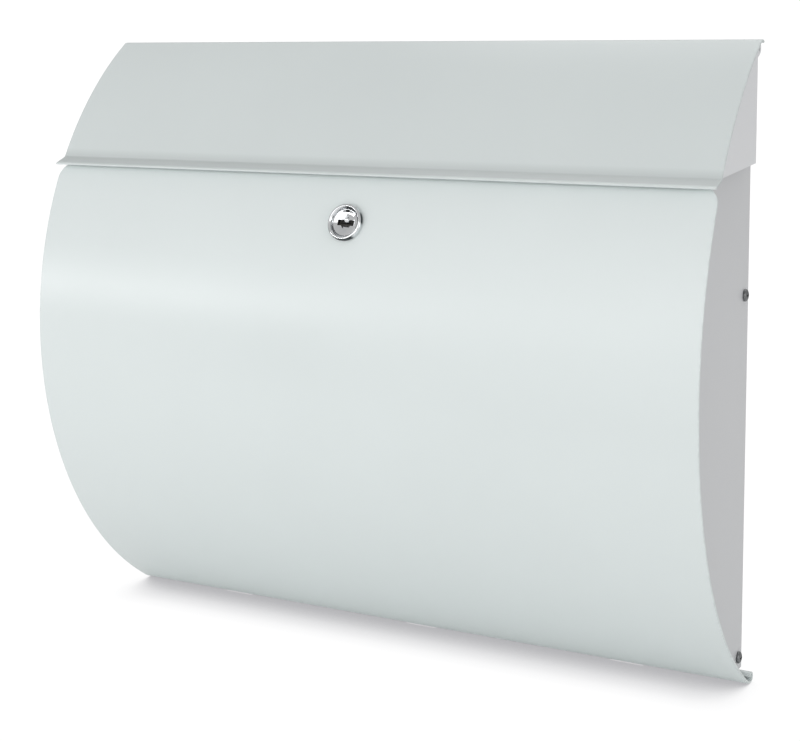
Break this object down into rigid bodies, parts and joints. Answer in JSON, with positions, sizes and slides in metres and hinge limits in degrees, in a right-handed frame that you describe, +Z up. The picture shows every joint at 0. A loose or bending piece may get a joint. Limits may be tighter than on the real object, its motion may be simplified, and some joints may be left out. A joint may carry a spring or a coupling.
{
  "type": "wall mounted mailbox",
  "caption": "Wall mailbox in powder-coated sheet steel with a bowed front, a hinged slot lid, a drop-down lockable door and a keyhole back panel.",
  "frame": {"origin": "on the back panel's rear face at the wall plane, midway across, level with the axis of the curved front", "axes": "+Y out of the back, into the wall; +Z up; +X to the right as seen from the front"},
  "size_m": [0.37, 0.092, 0.3176],
  "materials": {
    "powder_white": "white powder coat, satin, with a faint orange-peel texture",
    "zinc_steel": "zinc-plated steel",
    "chrome": "polished chrome plate",
    "dark_screw": "dark blackened steel"
  },
  "bodies": {
    "box": {"back_panel": "powder_white", "left_side_panel": "powder_white", "right_side_panel": "powder_white", "slot_sill": "powder_white", "lid_hinge_rod": "zinc_steel", "door_hinge_rod": "zinc_steel", "upper_left_screw": "dark_screw", "upper_right_screw": "dark_screw", "lower_left_screw": "dark_screw", "lower_right_screw": "dark_screw", "stop_stud_left": "zinc_steel", "stop_stud_right": "zinc_steel"},
    "lid": {"lid_panel": "powder_white", "lid_cheek_left": "powder_white", "lid_cheek_right": "powder_white"},
    "door": {"door_panel": "powder_white", "door_stop_arm_left": "zinc_steel", "door_stop_arm_right": "zinc_steel", "lock_barrel": "chrome", "lock_nut": "zinc_steel"},
    "lock": {"lock_plug": "chrome", "lock_cam": "zinc_steel", "cam_screw": "zinc_steel"}
  },
  "joints": [
    {"name": "lid_hinge", "type": "hinge", "parent": "box", "child": "lid", "pos_m": [0, -0.00475, 0.1548], "axis": [-1, 0, 0], "range_deg": [0, 100]},
    {"name": "door_hinge", "type": "hinge", "parent": "box", "child": "door", "pos_m": [0, -0.0031, -0.156], "axis": [1, 0, 0], "range_deg": [0, 40]},
    {"name": "lock_turn", "type": "hinge", "parent": "door", "child": "lock", "pos_m": [0, -0.0775, 0.0728], "axis": [0, -0.9237, 0.3832], "range_deg": [0, 90]}
  ]
}
